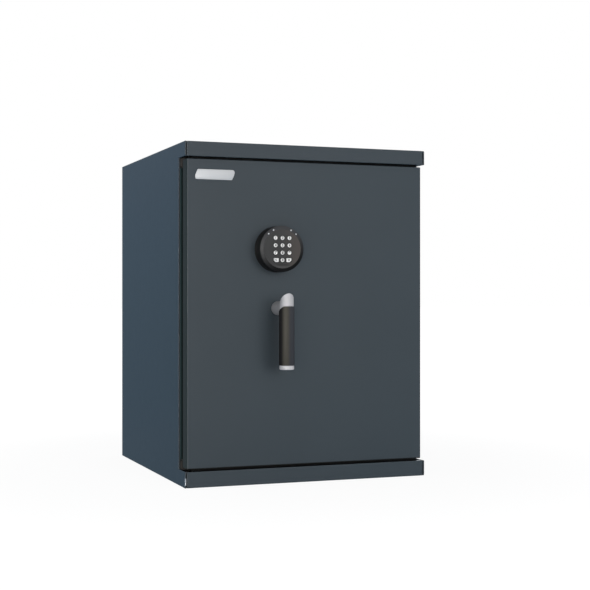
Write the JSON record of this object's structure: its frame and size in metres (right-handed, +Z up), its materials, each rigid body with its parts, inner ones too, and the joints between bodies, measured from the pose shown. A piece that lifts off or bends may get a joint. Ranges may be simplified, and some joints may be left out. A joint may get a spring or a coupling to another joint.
{
  "type": "safe cabinet",
  "caption": "Free-standing fire resistant safe cabinet with a hinged door, round keypad lock, turning bolt handle, locking bolts and an inner shelf.",
  "frame": {"origin": "centre of the underside of the base panel", "axes": "+Z up, +X to the right seen from the front, the door faces -Y"},
  "size_m": [0.496, 0.5827, 0.65],
  "materials": {
    "cabinet_paint": "anthracite blue-grey powder coat, fine orange peel",
    "door_paint": "anthracite powder coat, fine orange peel",
    "frame_steel": "dark powder coat",
    "fire_fill": "cast mineral fire fill, matt",
    "liner_paint": "light grey powder coat",
    "plug_paint": "mid grey powder coat",
    "hinge_black": "black paint, satin",
    "bright_steel": "turned and ground steel",
    "zinc_plate": "zinc plated",
    "bronze": "machined bronze",
    "keypad_black": "moulded black plastic, fine grain",
    "keypad_face": "moulded charcoal plastic, satin",
    "key_white": "white plastic keys, satin",
    "key_rubber": "silicone rubber",
    "board": "glass fibre board with solder resist",
    "battery_case": "printed tin case, plain",
    "lamp_silver": "polished lamp caps",
    "badge_silver": "satin anodised plate, bare",
    "handle_silver": "fine blasted, satin clear coat",
    "grip_black": "moulded black grip, satin"
  },
  "bodies": {
    "cabinet": {"side_panel_left": "cabinet_paint", "side_panel_right": "cabinet_paint", "back_panel": "cabinet_paint", "top_panel": "cabinet_paint", "base_panel": "cabinet_paint", "frame_left": "frame_steel", "frame_right": "frame_steel", "frame_top": "frame_steel", "frame_base": "frame_steel", "fill_left": "fire_fill", "fill_right": "fire_fill", "fill_top": "fire_fill", "fill_base": "fire_fill", "fill_back": "fire_fill", "liner": "liner_paint", "anchor_sleeves": "bright_steel", "hinge_blocks": "hinge_black", "hinge_pins": "bright_steel", "shelf": "liner_paint", "shelf_standards": "zinc_plate", "shelf_clips": "zinc_plate"},
    "door": {"door_plate": "door_paint", "door_fill": "fire_fill", "door_back_sheet": "plug_paint", "plug_ring": "plug_paint", "plug_cover": "liner_paint", "cover_screws": "bright_steel", "hinge_tube": "hinge_black", "hinge_dogs": "bright_steel", "bolt_guides": "bronze", "lock_case": "zinc_plate", "spindle_bush": "bronze", "keypad_base": "keypad_black", "keypad_housing": "keypad_black", "keypad_face": "keypad_face", "key_mat": "key_rubber", "keypad_board": "board", "battery": "battery_case", "keypad_lamps": "lamp_silver", "badge": "badge_silver"},
    "handle": {"handle_tube": "handle_silver", "grip_sleeve": "grip_black", "grip_cap": "handle_silver", "handle_spindle": "bright_steel", "bolt_crank": "bright_steel"},
    "carriage": {"bolt_carriage": "bright_steel", "locking_bolts": "bright_steel"},
    "blocking_bolt": {"lock_bolt": "bronze"},
    "key_1": {"key_1": "key_white"},
    "key_2": {"key_2": "key_white"},
    "key_3": {"key_3": "key_white"},
    "key_4": {"key_4": "key_white"},
    "key_5": {"key_5": "key_white"},
    "key_6": {"key_6": "key_white"},
    "key_7": {"key_7": "key_white"},
    "key_8": {"key_8": "key_white"},
    "key_9": {"key_9": "key_white"},
    "key_clear": {"key_clear": "key_white"},
    "key_0": {"key_0": "key_white"},
    "key_enter": {"key_enter": "key_white"}
  },
  "joints": [
    {"name": "door_swing", "type": "hinge", "parent": "cabinet", "child": "door", "pos_m": [-0.239, -0.221, 0.325], "axis": [0, 0, -1], "range_deg": [0, 95]},
    {"name": "handle_turn", "type": "hinge", "parent": "door", "child": "handle", "pos_m": [-0.0614, -0.2545, 0.3362], "axis": [0, -1, 0], "range_deg": [0, 90]},
    {"name": "bolt_slide", "type": "slide", "parent": "door", "child": "carriage", "axis": [1, 0, 0], "range_m": [0, 0.022]},
    {"name": "lock_bolt_throw", "type": "slide", "parent": "door", "child": "blocking_bolt", "axis": [0, 0, -1], "range_m": [0, 0.008]},
    {"name": "press_1", "type": "slide", "parent": "door", "child": "key_1", "axis": [0, 1, 0], "range_m": [0, 0.001], "stiffness_N_per_m": 300},
    {"name": "press_2", "type": "slide", "parent": "door", "child": "key_2", "axis": [0, 1, 0], "range_m": [0, 0.001], "stiffness_N_per_m": 300},
    {"name": "press_3", "type": "slide", "parent": "door", "child": "key_3", "axis": [0, 1, 0], "range_m": [0, 0.001], "stiffness_N_per_m": 300},
    {"name": "press_4", "type": "slide", "parent": "door", "child": "key_4", "axis": [0, 1, 0], "range_m": [0, 0.001], "stiffness_N_per_m": 300},
    {"name": "press_5", "type": "slide", "parent": "door", "child": "key_5", "axis": [0, 1, 0], "range_m": [0, 0.001], "stiffness_N_per_m": 300},
    {"name": "press_6", "type": "slide", "parent": "door", "child": "key_6", "axis": [0, 1, 0], "range_m": [0, 0.001], "stiffness_N_per_m": 300},
    {"name": "press_7", "type": "slide", "parent": "door", "child": "key_7", "axis": [0, 1, 0], "range_m": [0, 0.001], "stiffness_N_per_m": 300},
    {"name": "press_8", "type": "slide", "parent": "door", "child": "key_8", "axis": [0, 1, 0], "range_m": [0, 0.001], "stiffness_N_per_m": 300},
    {"name": "press_9", "type": "slide", "parent": "door", "child": "key_9", "axis": [0, 1, 0], "range_m": [0, 0.001], "stiffness_N_per_m": 300},
    {"name": "press_clear", "type": "slide", "parent": "door", "child": "key_clear", "axis": [0, 1, 0], "range_m": [0, 0.001], "stiffness_N_per_m": 300},
    {"name": "press_0", "type": "slide", "parent": "door", "child": "key_0", "axis": [0, 1, 0], "range_m": [0, 0.001], "stiffness_N_per_m": 300},
    {"name": "press_enter", "type": "slide", "parent": "door", "child": "key_enter", "axis": [0, 1, 0], "range_m": [0, 0.001], "stiffness_N_per_m": 300}
  ],
  "couplings": [
    {"joint": "bolt_slide", "follows": "handle_turn", "m_per_rad": 0.014}
  ]
}
